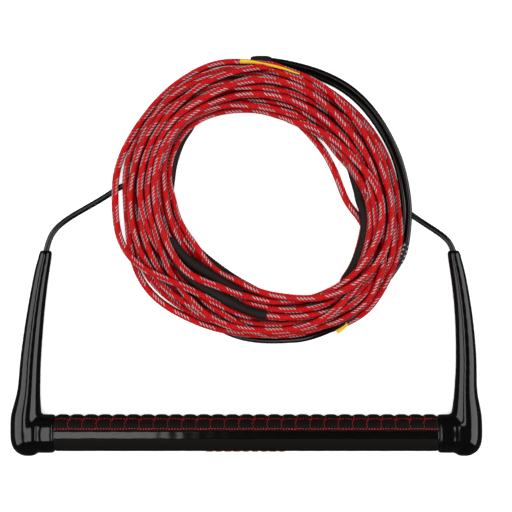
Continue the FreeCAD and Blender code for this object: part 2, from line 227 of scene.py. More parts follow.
class Strand:
    """One line's turns in the coil: a point at each station it passes."""

    def __init__(self, name, start_deg, end_deg, dia):
        first = math.ceil(start_deg / STEP_DEG)
        last = math.floor(end_deg / STEP_DEG)
        self.name = name
        self.angle = np.arange(first, last + 1) * STEP_DEG
        count = len(self.angle)
        self.radius = np.full(count, dia / 2)
        self.r = np.zeros(count)
        self.z = np.zeros(count)
        self.pull = np.full(count, HIDDEN_PULL)
        self.low = np.zeros(count, bool)

    def follow(self, guides, pull):
        """Guide part of the strand through (angle, radius, height) points."""
        angles, radii, heights = np.array(guides, float).T
        inside = (self.angle >= angles[0] - TINY) & (self.angle <= angles[-1] + TINY)
        self.r[inside] = np.interp(self.angle[inside], angles, radii)
        self.z[inside] = np.interp(self.angle[inside], angles, heights)
        self.pull[inside] = pull
        self.low[inside] = False

    def hide(self, from_deg, to_deg, lane, height, pull):
        """Lay part of the strand under the coil, some way across its width."""
        inside = (self.angle >= from_deg) & (self.angle <= to_deg)
        inner = table_at(LOW_INNER, self.angle[inside])
        outer = table_at(LOW_OUTER, self.angle[inside])
        self.r[inside] = inner + (outer - inner) * lane
        self.z[inside] = height
        self.pull[inside] = pull

    def thicken(self, from_deg, to_deg, dia):
        """Room for a sleeve on part of the strand."""
        inside = (self.angle >= from_deg) & (self.angle <= to_deg)
        self.radius[inside] = dia / 2


def hidden_section(name, start_deg, end_deg, z, rng):
    """A lower section: its turns wander over the whole width of the coil."""
    strand = Strand(name, start_deg, end_deg, ROPE_DIA / MM)
    knots = np.arange(start_deg - 60, end_deg + 121, KNOT_STEP)
    lane = rng.uniform(*FIRST_LANE)
    lanes = []
    for _ in knots:
        lane += rng.uniform(-DRIFT, DRIFT)
        if lane < 0 or lane > 1:
            lane = min(max(lane, -lane), 2 - lane)
        lanes.append(lane)
    share = np.interp(strand.angle, knots, lanes)
    inner = table_at(LOW_INNER, strand.angle)
    outer = table_at(LOW_OUTER, strand.angle)
    strand.r = inner + (outer - inner) * share
    strand.z = z + (strand.angle - start_deg) / 360 * CLIMB
    strand.low[:] = True
    return strand


def lay_coil():
    """Every line's turns, laid one on the other and pressed apart until none overlap."""
    rng = np.random.default_rng(COIL_SEED)
    leg, rope, sleeve, wide_sleeve = (dia / MM for dia in (LEG_DIA, ROPE_DIA, SLEEVE_DIA, WIDE_SLEEVE_DIA))

    left = Strand("leg_left", 188, 815, leg)
    left.hide(188, 590, 0.55, ON_FLOOR, 0.2)
    left.follow(LEFT_UNDER, 0.4)
    left.follow(turned(LEFT_SHOWN, 1), 0.45)
    right = Strand("leg_right", 4, 455, leg)
    right.hide(4, 320, 0.45, ON_FLOOR, 0.2)
    right.follow(RIGHT_UNDER, 0.4)
    right.follow(RIGHT_LOWER, 0.4)
    right.follow(RIGHT_SHOWN, 0.45)

    one = hidden_section("line_section_1", 95, 186 + LAST_TURN, 6, rng)
    one.follow(ONE_START, 0.35)
    one.follow(turned(BESIDE_GAP, 1), 0.3)
    one.follow(turned(INNER_SLEEVE, 7), 0.3)
    one.thicken(131 + LAST_TURN, 186 + LAST_TURN, sleeve)

    two = hidden_section("line_section_2", 208, 25 + 360 * 8, 11, rng)
    two.follow(RIBBED_SLEEVE, 0.25)
    two.follow(turned(INSIDE_RIGHT, 5), 0.35)
    two.thicken(208, 268, sleeve)

    three = hidden_section("line_section_3", 30, 274 + LAST_TURN, 16, rng)
    three.follow(turned(LOOP, 4), 0.6)
    three.follow(turned(MIDDLE_SLEEVE, 7), 0.25)
    three.thicken(201 + LAST_TURN, 274 + LAST_TURN, sleeve)

    four = Strand("line_section_4", 214, 390 + LAST_TURN, rope)
    four.follow(TOP_START, 0.1)
    four.follow([TOP_START[-1], (360, TOP_TURNS[0][0], TOP_HEIGHT)], TOP_PULL)
    stations = [ROW_STEP * k for k in range(17)]
    next_radii = [row[0] for row in TOP_TURNS[1:]] + [TOP_END[0][1]]
    for turn, (row, after) in enumerate(zip(TOP_TURNS, next_radii)):
        here = level(zip(stations, row + [after]), TOP_HEIGHT + TOP_STEP * turn)
        four.follow(turned(here, turn + 1), TOP_PULL)
    four.follow(turned(OUTER_LEFT, 2), 0.4)
    four.follow(turned(OUTER_LOWER, 2), 0.4)
    four.follow(turned(OVER_SLEEVE, 5), 0.3)
    four.follow(turned(TOP_END, 7), 0.35)
    four.thicken(214, 272, sleeve)
    four.thicken(309 + LAST_TURN, 390 + LAST_TURN, wide_sleeve)

    strands = [left, right, one, two, three, four]
    settle(strands)
    return {s.name: s for s in strands}


def settle(strands):
    """Lets the turns sink on to each other, held apart station by station."""
    angle, radius, target, pull, low, z = (
        np.concatenate([getattr(s, part) for s in strands])
        for part in ("angle", "radius", "r", "pull", "low", "z"))
    r = target.copy()
    owner = np.concatenate([np.full(len(s.r), n) for n, s in enumerate(strands)])
    plane = np.round(angle / STEP_DEG).astype(int) % STATIONS
    inner = table_at(LOW_INNER, angle)
    outer = table_at(LOW_OUTER, angle)
    pairs = []
    for k in range(STATIONS):
        here = np.flatnonzero(plane == k)
        pairs.append(here[np.stack(np.triu_indices(len(here), 1))])
    first, second = np.concatenate(pairs, axis=1)
    reach = (radius[first] + radius[second]) * TOUCHING
    joined = np.flatnonzero(owner[1:] == owner[:-1])
    middle = joined[1:][np.diff(joined) == 1]
    ease = STRAIGHTENING * (1 - pull[middle])
    floor = radius + FLOOR_GAP
    for n, (from_deg, to_deg, inmost) in enumerate(LEGS_UNDER):
        spot = plane * STEP_DEG + np.where(plane * STEP_DEG < to_deg - 180, 360, 0)
        own = (owner == n) & (angle < 90 + to_deg % 360)
        floor[(spot >= from_deg) & (spot <= to_deg) & (target > inmost) & ~own] += LEG_DIA / MM
    for step in range(ROUNDS):
        z -= DROP * min(1.0, SLOWING * (1 - step / ROUNDS)) + LEAST_DROP
        r += pull * (target - r)
        for _ in range(STRAIGHTENINGS):
            for value in (r, z):
                mean = (value[middle - 1] + value[middle + 1]) / 2
                value[middle] += ease * (mean - value[middle])
        for _ in range(PRESSINGS):
            gap_r = r[second] - r[first]
            gap_z = z[second] - z[first]
            apart = np.hypot(gap_r, gap_z) + TINY
            push = np.maximum(reach - apart, 0) * 0.5 * PRESSING
            for value, gap in ((r, gap_r), (z, gap_z)):
                np.add.at(value, first, -push * gap / apart)
                np.add.at(value, second, push * gap / apart)
            np.maximum(z, floor, out=z)
            r[low] = np.clip(r[low], inner[low], outer[low])
    start = 0
    for s in strands:
        end = start + len(s.r)
        s.r = r[start:end]
        s.z = z[start:end]
        start = end


def coil_points(strand):
    """The strand's points in metres."""
    around = np.radians(strand.angle)
    x = COIL_CENTRE[0] + strand.r * np.cos(around)
    y = COIL_CENTRE[1] + strand.r * np.sin(around)
    return [tuple(p) for p in np.stack([x, y, strand.z], 1) * MM]


# ---- curves and tubes --------------------------------------------------------
def smooth_line(points, per_point):
    """Points along the NURBS line that has these control points."""
    curve = bpy.data.curves.new("line", "CURVE")
    curve.dimensions = "3D"
    spline = curve.splines.new("NURBS")
    spline.points.add(len(points) - 1)
    for target, point in zip(spline.points, points):
        target.co = (*point, 1)
    spline.order_u = 3
    spline.use_endpoint_u = True
    curve.resolution_u = per_point
    holder = bpy.data.objects.new("line", curve)
    mesh = bpy.data.meshes.new_from_object(holder)
    line = np.array([v.co for v in mesh.vertices], float)
    bpy.data.objects.remove(holder)
    bpy.data.curves.remove(curve)
    bpy.data.meshes.remove(mesh)
    return line


def lengths_along(line):
    steps = np.linalg.norm(np.diff(line, axis=0), axis=1)
    return np.concatenate([[0], np.cumsum(steps)])


def evenly(line, spacing):
    """The same line with evenly spaced points."""
    along = lengths_along(line)
    count = max(int(along[-1] / spacing), 2)
    at = np.linspace(0, along[-1], count + 1)
    return np.stack([np.interp(at, along, line[:, k]) for k in range(3)], 1)


def unit(vectors):
    return vectors / np.linalg.norm(vectors, axis=1)[:, None]


def sides(line):
    """Sideways and upward directions at each point of a line that is nowhere upright."""
    ahead = unit(np.gradient(line, axis=0))
    side = unit(np.cross(ahead, (0, 0, 1.0)))
    return side, np.cross(side, ahead)


def linked(name, data):
    piece = bpy.data.objects.new(name, data)
    bpy.context.scene.collection.objects.link(piece)
    return piece


def mesh_object(name, vertices, faces, material, uvs=None, smooth=True):
    mesh = bpy.data.meshes.new(name)
    mesh.from_pydata([tuple(v) for v in vertices], [], [tuple(f) for f in faces])
    if uvs is not None:
        layer = mesh.uv_layers.new(name="rope")
        layer.data.foreach_set("uv", np.asarray(uvs, np.float32).ravel())
    mesh.polygons.foreach_set("use_smooth", [smooth] * len(mesh.polygons))
    mesh.update()
    mesh.materials.append(material)
    return linked(name, mesh)


def ring_quads(points):
    """The faces between rings of points, and each point's number and its neighbour's."""
    index = grid_of(points)
    beside = np.roll(index, -1, axis=1)
    quads = np.stack([index[:-1], beside[:-1], beside[1:], index[1:]], -1).reshape(-1, 4)
    return index, beside, quads


def grid_of(points):
    return np.arange(points.shape[0] * points.shape[1]).reshape(points.shape[:2])


def tube(name, line, radius, segments, material, profile=None):
    """A round tube along a line. profile(along, around) scales its radius."""
    side, up = sides(line)
    along = lengths_along(line)
    around = np.arange(segments) * 2 * np.pi / segments
    s, a = np.meshgrid(along, around, indexing="ij")
    reach = np.full_like(s, radius) if profile is None else radius * profile(s, a)
    rings = (line[:, None, :] + reach[..., None] * (np.cos(a)[..., None] * side[:, None, :]
                                                    + np.sin(a)[..., None] * up[:, None, :]))
    vertices = np.concatenate([rings.reshape(-1, 3), line[:1], line[-1:]])
    index, beside, quads = ring_quads(rings)
    start, end = index.size, index.size + 1
    caps = [(i, j, start) for i, j in zip(index[0].tolist(), beside[0].tolist())]
    caps += [(j, i, end) for i, j in zip(index[-1].tolist(), beside[-1].tolist())]
    share = np.arange(segments + 1) / segments
    uv = np.stack(np.broadcast_arrays(along[:, None], share + twist(along)[:, None]), -1)
    corners = np.stack([uv[1:, :-1], uv[1:, 1:], uv[:-1, 1:], uv[:-1, :-1]], 2).reshape(-1, 2)
    uvs = np.concatenate([corners, np.zeros((len(caps) * 3, 2))])
    return mesh_object(name, vertices, quads[:, ::-1].tolist() + caps, material, uvs)


# ---- materials -----------------------------------------------------------------
class Shading:
    """Short calls that build one material's nodes."""

    def __init__(self, name):
        self.material = bpy.data.materials.new(name)
        self.material.use_nodes = True
        self.tree = self.material.node_tree
        self.shader = self.tree.nodes["Principled BSDF"]

    def node(self, kind, **settings):
        made = self.tree.nodes.new(kind)
        for key, value in settings.items():
            setattr(made, key, value)
        return made

    def plug(self, socket, value):
        if isinstance(value, bpy.types.NodeSocket):
            self.tree.links.new(value, socket)
        else:
            socket.default_value = value

    def math(self, operation, a, b=None):
        made = self.node("ShaderNodeMath", operation=operation)
        for socket, value in zip(made.inputs, (a, b)):
            if value is not None:
                self.plug(socket, value)
        return made.outputs[0]

    def plus(self, a, b, share=1.0):
        """a, with this share of b added to it."""
        return self.math("ADD", a, self.math("MULTIPLY", b, share))

    def mix(self, share, a, b, kind="RGBA", **settings):
        """Between a and b: two colours, or two numbers when kind is FLOAT."""
        made = self.node("ShaderNodeMix", data_type=kind, **settings)
        first = 6 if kind == "RGBA" else 2
        for socket, value in zip((made.inputs[0], *made.inputs[first:first + 2]), (share, a, b)):
            self.plug(socket, value)
        return made.outputs[2 if kind == "RGBA" else 0]

    def noise(self, scale, detail=3.0, roughness=0.5):
        made = self.node("ShaderNodeTexNoise")
        made.inputs["Scale"].default_value = scale
        made.inputs["Detail"].default_value = detail
        made.inputs["Roughness"].default_value = roughness
        self.plug(made.inputs["Vector"], self.place())
        return made.outputs["Fac"]

    def place(self):
        return self.node("ShaderNodeTexCoord").outputs["Object"]

    def split(self, vector):
        made = self.node("ShaderNodeSeparateXYZ")
        self.plug(made.inputs[0], vector)
        return made.outputs

    def range(self, value, low, high, to_low, to_high):
        made = self.node("ShaderNodeMapRange")
        for socket, item in zip(made.inputs, (value, low, high, to_low, to_high)):
            self.plug(socket, item)
        return made.outputs[0]

    def bump(self, height, distance, strength):
        made = self.node("ShaderNodeBump")
        made.inputs["Strength"].default_value = strength
        made.inputs["Distance"].default_value = distance
        self.plug(made.inputs["Height"], height)
        self.plug(self.shader.inputs["Normal"], made.outputs[0])

    def rough(self, grain, low, high):
        """Roughness that follows the grain."""
        return self.range(grain, *NOISE_SPAN, low, high)

    def paint(self, share, dark, pale, roughness, **values):
        """The finished material, its colour between two tones."""
        return self.set(Base_Color=self.mix(share, (*dark, 1), (*pale, 1)), Roughness=roughness, **values)

    def set(self, **values):
        for key, value in values.items():
            self.plug(self.shader.inputs[key.replace("_", " ")], value)
        return self.material


NOISE_SPAN = (0.3, 0.7)                # what a noise mostly stays within
BRAID_ROUNDNESS = 0.45                 # lower makes a carrier's bumps flatter on top


def braid(s, pitch, carriers):
    """A two-over-two braid: its height, where the first direction is on top, and its cells."""
    along, around, _ = s.split(s.node("ShaderNodeUVMap", uv_map="rope").outputs[0])
    turn = s.math("DIVIDE", along, pitch)
    cells = [s.math("MULTIPLY", s.math(way, around, turn), carriers) for way in ("ADD", "SUBTRACT")]
    floors = [s.math("FLOOR", c) for c in cells]
    both = s.math("FLOORED_MODULO", s.math("ADD", *floors), 4.0)
    on_top = s.math("LESS_THAN", both, 1.5)
    ridges = [s.math("ABSOLUTE", s.math("SINE", s.math("MULTIPLY", c, math.pi))) for c in cells]
    overs = []
    for under, own in ((cells[1], floors[0]), (cells[0], floors[1])):
        place_over = s.math("FLOORED_MODULO", s.math("ADD", own, under), 2.0)
        overs.append(s.math("SINE", s.math("MULTIPLY", place_over, math.pi / 2)))
    across = s.mix(on_top, ridges[1], ridges[0], "FLOAT")
    length = s.mix(on_top, overs[1], overs[0], "FLOAT")
    height = s.math("MULTIPLY", across, s.math("POWER", length, BRAID_ROUNDNESS))
    return height, on_top, cells[0], floors[0]


def red_braid():
    """Red line in which half of one direction's carriers have a pale thread, with shade painted into the
    gaps between turns and into the braid's grooves.
    """
    s = Shading("red_braid")
    height, on_top, cell, carrier = braid(s, BRAID_PITCH, CARRIERS)
    grey_one = s.math("LESS_THAN", s.math("FLOORED_MODULO", carrier, float(CARRIERS)), 4.5)
    off_middle = s.math("ABSOLUTE", s.math("SUBTRACT", s.math("FRACT", cell), 0.5))
    middle = s.math("LESS_THAN", off_middle, 0.23)
    fleck = s.math("MULTIPLY", s.math("MULTIPLY", grey_one, on_top), middle)
    tone = s.noise(420.0, 2.0)
    red = s.mix(tone, (0.46, 0.001, 0.004, 1), (0.84, 0.007, 0.010, 1))
    grey = s.mix(tone, (0.32, 0.25, 0.27, 1), (0.62, 0.54, 0.56, 1))
    # Painted shade: an ambient occlusion node darkens the red where turns lie close together, so the gaps
    # between them are painted dark like shadow.
    open_sky = s.node("ShaderNodeAmbientOcclusion", samples=4)
    open_sky.inputs["Distance"].default_value = 7 * MM
    painted_gap_shade = s.range(open_sky.outputs["AO"], 0.25, 0.85, 0.04, 1.0)
    # Painted shade: the braid's low grooves are darkened by their height, and this is multiplied with the
    # painted shade in the gaps between turns.
    painted_shade = s.math("MULTIPLY", s.range(height, 0.0, 0.55, 0.25, 1.0), painted_gap_shade)
    shaded = s.mix(1.0, s.mix(fleck, red, grey), painted_shade, blend_type="MULTIPLY")
    fibre = s.noise(2200.0, 2.0)
    s.bump(s.plus(height, fibre, 0.25), 0.3 * MM, 0.7)
    return s.set(Base_Color=shaded, Roughness=s.rough(fibre, 0.5, 0.7), Specular_IOR_Level=0.12)


def coated_line():
    s = Shading("coated_line")
    height = s.math("MULTIPLY", braid(s, 0.030, 6)[0], 0.2)
    grain = s.noise(900.0, 4.0)
    s.bump(s.plus(height, grain, 0.2), 0.04 * MM, 0.16)
    return s.paint(grain, (0.0008, 0.0007, 0.0007), (0.0024, 0.0021, 0.0018), s.rough(grain, 0.14, 0.24))


def sleeve_cloth():
    s = Shading("sleeve_cloth")
    grain = s.noise(1400.0)
    s.bump(s.plus(braid(s, 0.020, 12)[0], grain, 0.5), 0.1 * MM, 0.5)
    return s.paint(grain, (0.0060, 0.0042, 0.0034), (0.0150, 0.0105, 0.0085), s.rough(grain, 0.5, 0.7),
                   Specular_IOR_Level=0.15)


def flecked_thread():
    s = Shading("flecked_thread")
    height, on_top, _, carrier = braid(s, 0.012, 6)
    pale = s.math("LESS_THAN", s.math("FLOORED_MODULO", carrier, 2.0), 0.5)
    s.bump(s.plus(height, s.noise(1800.0)), 0.3 * MM, 0.9)
    return s.paint(s.math("MULTIPLY", pale, on_top), (0.008, 0.008, 0.008), (0.42, 0.38, 0.38), 0.7)


def yellow_tape():
    s = Shading("yellow_tape")
    grain = s.noise(1500.0)
    s.bump(grain, 0.1 * MM, 0.6)
    return s.paint(grain, (0.78, 0.42, 0.004), (0.95, 0.55, 0.008), 0.6)


def grip_foam():
    s = Shading("grip_foam")
    grain = s.noise(1300.0, 4.0, roughness=0.65)
    s.bump(grain, 0.14 * MM, 0.7)
    return s.paint(grain, (0.0022, 0.0017, 0.0014), (0.0065, 0.0052, 0.0044), s.rough(grain, 0.6, 0.8),
                   Specular_IOR_Level=0.12)


def grip_gloss():
    s = Shading("grip_gloss")
    waves = s.noise(45.0, 2.0)
    grain = s.noise(900.0)
    s.bump(s.plus(waves, grain, 0.02), 0.5 * MM, 0.3)
    return s.paint(waves, (0.0008, 0.0008, 0.0008), (0.0022, 0.0021, 0.0020), s.rough(grain, 0.06, 0.14))


def cap_plastic():
    s = Shading("cap_plastic")
    waves = s.noise(70.0, 2.0)
    grain = s.noise(1100.0)
    s.bump(s.plus(waves, grain, 0.02), 0.3 * MM, 0.3)
    return s.paint(waves, (0.0008, 0.0008, 0.0008), (0.0020, 0.0019, 0.0018), s.rough(grain, 0.07, 0.14))


def pad_cloth():
    s = Shading("pad_cloth")
    grain = s.noise(900.0, 4.0, roughness=0.6)
    pores = s.node("ShaderNodeTexVoronoi", feature="SMOOTH_F1")
    pores.inputs["Scale"].default_value = 1600.0
    s.plug(pores.inputs["Vector"], s.place())
    s.bump(s.plus(pores.outputs["Distance"], grain), 0.08 * MM, 0.6)
    return s.paint(grain, (0.0020, 0.0012, 0.0010), (0.0075, 0.0042, 0.0034), s.rough(grain, 0.5, 0.7),
                   Specular_IOR_Level=0.12)


def red_thread():
    s = Shading("red_thread")
    grain = s.noise(2500.0, 2.0)
    s.bump(grain, 0.1 * MM, 0.6)
    return s.paint(grain, (0.66, 0.005, 0.007), (0.92, 0.014, 0.016), 0.5)


def orange_rubber():
    s = Shading("orange_rubber")
    grain = s.noise(1200.0)
    s.bump(grain, 0.08 * MM, 0.5)
    return s.paint(grain, (0.40, 0.022, 0.006), (0.54, 0.04, 0.008), 0.45)


def aluminium():
    s = Shading("aluminium")
    grain = s.noise(700.0)
    s.bump(grain, 0.03 * MM, 0.4)
    return s.paint(grain, (0.72, 0.73, 0.75), (0.612, 0.6205, 0.6375), s.rough(grain, 0.28, 0.42),
                   Metallic=1.0)


def floor_paint():
    s = Shading("floor")
    return s.paint(s.noise(12.0), (0.90, 0.90, 0.90), (0.93, 0.93, 0.93), 0.8,
                   Emission_Color=(1, 1, 1, 1), Emission_Strength=0.5)


RED = red_braid()
COATED = coated_line()
CLOTH = sleeve_cloth()
FLECKED = flecked_thread()
TAPE = yellow_tape()
FOAM = grip_foam()
GLOSS = grip_gloss()
PAD = pad_cloth()
THREAD = red_thread()
BADGE = orange_rubber()
CAP = cap_plastic()
ALUMINIUM = aluminium()


# ---- camera, light and floor -----------------------------------------------------
VIEW_CENTRE = (0.0078, 0.0782)
VIEW_WIDTH = 0.4139
LENS = 100.0
SENSOR = 36.0
LOOKED_AT_HEIGHT = 0.015
PANEL_MIDDLE_Y = 0.0
PANEL_LENGTH = 1.9
# Each panel's two long edges as (x, height), and its brightness.
PANELS = {
    "left_panel": ((-0.78, 1.15), (-1.25, 0.10), 2.3),
    "right_panel": ((0.83, 1.15), (1.30, 0.10), 2.6),
    "upper_panel": ((-0.13, 1.15), (-0.42, 1.15), 2.6),
}
CEILING_HEIGHT = 1.9
CEILING_SIZE = 1.6
CEILING_BRIGHTNESS = 5.7
WALLS_LIGHT = 0.05                     # how brightly the walls light the object
WALLS_SEEN = 0.8                       # and how much brighter they are looked at
FLOOR_HALF = 4.0


def camera():
    data = bpy.data.cameras.new("camera")
    data.lens = LENS
    data.sensor_width = SENSOR
    height = VIEW_WIDTH * LENS / SENSOR + LOOKED_AT_HEIGHT
    piece = linked("camera", data)
    piece.location = (*VIEW_CENTRE, height)
    bpy.context.scene.camera = piece


def area_light(name, width, length, brightness):
    data = bpy.data.lights.new(name, "AREA")
    data.shape = "RECTANGLE"
    data.size = width
    data.size_y = length
    data.energy = brightness * math.pi * width * length
    return linked(name, data)


def panel_light(name, top, foot, brightness):
    """A long soft panel beside the table, facing it."""
    piece = area_light(name, math.dist(top, foot), PANEL_LENGTH, brightness)
    piece.visible_diffuse = False
    piece.location = ((top[0] + foot[0]) / 2, PANEL_MIDDLE_Y, (top[1] + foot[1]) / 2)
    across = Vector((top[0] - foot[0], 0, top[1] - foot[1])).normalized()
    back = Vector((-across.z, 0, across.x))
    if back.dot(piece.location) < 0:
        back = -back
    piece.rotation_euler = Matrix((across, back.cross(across), back)).transposed().to_euler()


def ceiling_light():
    """Broad light from straight above, which glossy parts do not mirror."""
    piece = area_light("ceiling", CEILING_SIZE, CEILING_SIZE, CEILING_BRIGHTNESS)
    piece.location = (*VIEW_CENTRE, CEILING_HEIGHT)
    piece.visible_glossy = False


def pale_room():
    """Pale walls, which light the object only a little."""
    world = bpy.data.worlds.new("studio")
    world.use_nodes = True
    nodes = world.node_tree.nodes
    walls = nodes["Background"]
    walls.inputs["Color"].default_value = (1, 1, 1, 1)
    ray = nodes.new("ShaderNodeLightPath")
    strength = nodes.new("ShaderNodeMath")
    strength.operation = "MULTIPLY_ADD"
    strength.inputs[1].default_value = WALLS_SEEN
    strength.inputs[2].default_value = WALLS_LIGHT
    world.node_tree.links.new(ray.outputs["Is Camera Ray"], strength.inputs[0])
    world.node_tree.links.new(strength.outputs[0], walls.inputs["Strength"])
    bpy.context.scene.world = world


def stage():
    corners = [(x * FLOOR_HALF, y * FLOOR_HALF, 0) for x, y in ((-1, -1), (1, -1), (1, 1), (-1, 1))]
    floor = mesh_object("floor", corners, [(0, 1, 2, 3)], floor_paint(), smooth=False)
    floor.visible_glossy = False
    pale_room()
    for name, (top, foot, brightness) in PANELS.items():
        panel_light(name, top, foot, brightness)
    ceiling_light()
    bpy.context.scene.view_settings.view_transform = "Standard"


# ---- the lines ----------------------------------------------------------------
TWIST_WAVES = ((0.06, 0.065, 0), (0.05, 0.043, 1))      # turns, metres and phase
SECTIONS = ["line_section_%d" % number for number in (1, 2, 3, 4)]
APEX_POINTS = 12
WHIPPING_FROM, WHIPPING_TO = -25, -15  # degrees round the coil, on the leg's last stretch:
LAST_STRETCH = 0.30


def twist(along):
    """How far round the rope's braid has wandered, in turns."""
    return sum(turns * np.sin(along / length + phase) for turns, length, phase in TWIST_WAVES)


def braid_relief(along, around):
    """A knobbly braid: one long bump where each carrier passes over two others."""
    turn = around / (2 * np.pi) + twist(along)
    first = (turn + along / BRAID_PITCH) * CARRIERS
    second = (turn - along / BRAID_PITCH) * CARRIERS
    on_top = np.mod(np.floor(first) + np.floor(second), 4) < 2
    across = np.where(on_top, first, second) % 1
    over = np.where(on_top, np.mod(np.floor(first) + second, 4), np.mod(first + np.floor(second), 4) - 2)
    bump = np.sin(np.pi * across) * np.sin(np.pi * np.clip(over / 2, 0, 1)) ** BRAID_ROUNDNESS
    return 0.95 + 0.075 * bump


def place(piece, body, slot, *nodes):
    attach(piece, body)
    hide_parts(*nodes)
    return piece


def make_lines(coil):
    """Each line section and each leg, with the path its middle follows."""
    made = {}
    for name in SECTIONS:
        path = evenly(smooth_line(coil_points(coil[name]), 4), BRAID_PITCH / CARRIERS / 3)
        piece = tube(name + "_rope", path, ROPE_DIA / 2, 16, RED, braid_relief)
        made[name] = (place(piece, "line", "red_braid", name), path)
    for side in SIDES:
        name = "leg_" + side
        control = [tuple(c * MM for c in p) for p in LEG_ROUTES[side]] + coil_points(coil[name])
        path = evenly(smooth_line(control, 4), 1.5 * MM)
        piece = tube(name + "_line", path, LEG_DIA / 2, 14, COATED)
        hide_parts(name, "bridle_turns_" + side)
        made[name] = (piece, path)
    return made


def angles_round(path):
    return np.arctan2(path[:, 1] / MM - COIL_CENTRE[1], path[:, 0] / MM - COIL_CENTRE[0])


def length_at_angle(path, strand, degrees):
    """How far along its path a strand reaches this angle, counted on through its turns."""
    around = np.unwrap(angles_round(path))
    turns = round((math.radians(strand.angle[0]) - around[0]) / (2 * math.pi))
    return np.interp(math.radians(degrees), around + turns * 2 * math.pi, lengths_along(path))


def pinched(along, reach):
    """A sleeve narrows a little within this reach of its ends."""
    edge = np.minimum(along, along.max() - along)
    return 1 - 0.22 * np.exp(-edge / reach)


def worn(ends, waves):
    """A sleeve's shape: pinched at its ends and uneven between."""
    def profile(along, around):
        wave = 0.03 * np.sin(along / (4.1 * MM) + 2 * np.sin(around)) * waves
        return pinched(along, ends * MM) + wave + 0.02 * waves * np.sin(3 * around + along / (7 * MM))
    return profile


def ribbed(along, around):
    return pinched(along, 1.5 * MM) * (0.97 + 0.045 * np.sin(along / (2.4 * MM) * 2 * np.pi))


# Each sleeve's line, the angles it reaches between, its shape and its diameter.
SLEEVES = {
    "sleeve_inner_left": (1, 131 + LAST_TURN, 185.5 + LAST_TURN, worn(1.5, 0.5), SLEEVE_DIA),
    "sleeve_front_ribbed": (2, 209, 268, ribbed, SLEEVE_DIA),
    "sleeve_front_middle": (3, 202 + LAST_TURN, 273.5 + LAST_TURN, worn(1.5, 0.6), SLEEVE_DIA),
    "sleeve_front_outer": (4, 215.5, 272, worn(1.2, 1.6), SLEEVE_DIA),
    "sleeve_inner_right": (4, 310 + LAST_TURN, 389.5 + LAST_TURN, worn(1.5, 0.4), WIDE_SLEEVE_DIA),
}


def cover(name, node, line, radius, profile):
    """A cloth sleeve along a line."""
    piece = tube(name, evenly(line, 0.8 * MM), radius, 24, CLOTH, profile)
    return place(piece, "line", "sleeve_cloth", node)


def make_sleeves(made, coil):
    """The sleeves on each line section."""
    sleeves = {name: [] for name in SECTIONS}
    for node, (number, start_deg, end_deg, profile, dia) in SLEEVES.items():
        name = "line_section_%d" % number
        path = made[name][1]
        along = lengths_along(path)
        start, end = (length_at_angle(path, coil[name], degrees) for degrees in (start_deg, end_deg))
        part = path[(along >= start) & (along <= end)]
        sleeves[name].append(cover(node + "_cover", node, part, dia / 2, profile))
    return sleeves


def apex_sleeve(made):
    """The sleeve round both legs' ends, where the line is tied on."""
    left_end, right_end = (made["leg_" + side][1][-APEX_POINTS:] for side in SIDES)
    line = (left_end + right_end) / 2
    line[:, 1] += 0.8 * MM
    line[:, 2] = np.maximum(line[:, 2], 4.9 * MM)
    return cover("apex_cover", "apex_sleeve", line, 4.6 * MM, worn(1.2, 0.8))


def leg_whipping(made):
    """Thread wound round the left leg's last turn."""
    path = made["leg_left"][1]
    along = lengths_along(path)
    degrees = np.degrees(angles_round(path))
    part = path[(degrees > WHIPPING_FROM) & (degrees < WHIPPING_TO) & (along > along[-1] - LAST_STRETCH)]
    piece = tube("whipping", evenly(part, 0.7 * MM), LEG_DIA / 2 + 0.35 * MM, 16, FLECKED, worn(1.0, 1.8))
    return place(piece, "line", "whipping_thread", "line_whipping")


# ---- the handle ------------------------------------------------------------------
def round_bar(x, degrees, radius):
    """A point beside the bar: degrees are from straight up towards the coil."""
    angle = np.radians(degrees)
    y = BAR_Y + radius * np.sin(angle)
    z = BAR_Z + radius * np.cos(angle)
    return np.stack(np.broadcast_arrays(x, y, z), -1)


def two_layers(name, outer, inner, quads, walls, material):
    """A closed piece: two layers of points with the same faces, and walls between their edges."""
    count = outer.shape[0] * outer.shape[1]
    faces = quads.tolist() + (quads[:, ::-1] + count).tolist()
    faces += [(int(a), int(b), int(b) + count, int(a) + count) for a, b in walls]
    vertices = np.concatenate([outer.reshape(-1, 3), inner.reshape(-1, 3)])
    return mesh_object(name, vertices, faces, material)


def rim_of(index):
    """Once round the edge of a grid."""
    return np.concatenate([index[0, :], index[1:, -1], index[-1, -2::-1], index[-2:0:-1, 0]])


def shell(name, outer, inner, material):
    """A closed piece between two grids of points."""
    index = grid_of(outer)
    quads = np.stack([index[:-1, :-1], index[1:, :-1], index[1:, 1:], index[:-1, 1:]], -1).reshape(-1, 4)
    rim = rim_of(index)
    walls = zip(rim, np.roll(rim, -1))
    return two_layers(name, outer, inner, quads, walls, material)


def ring_shell(name, outer, inner, material):
    """A closed piece between two tubes of points: rows run along it, columns round it."""
    index, beside, quads = ring_quads(outer)
    walls = [*zip(beside[0], index[0]), *zip(index[-1], beside[-1])]
    return two_layers(name, outer, inner, quads, walls, material)


def bar_grid(low, high, rows, degrees):
    """A grid on the bar: place along it, degrees round it, and distance from the nearer end."""
    grid_x, grid_d = np.meshgrid(np.linspace(low[0], high[0], rows), degrees, indexing="ij")
    return grid_x, grid_d, np.minimum(grid_x - low[0], high[0] - grid_x)


def on_handle(piece, slot, node):
    return place(piece, "handle", slot, node)


def waves_along(x, rng, lengths):
    """A gentle unevenness along the bar, about one high."""
    total = np.zeros_like(x)
    for length in lengths:
        total += np.sin(2 * np.pi * (x / length + rng.random()))
    return total / len(lengths)


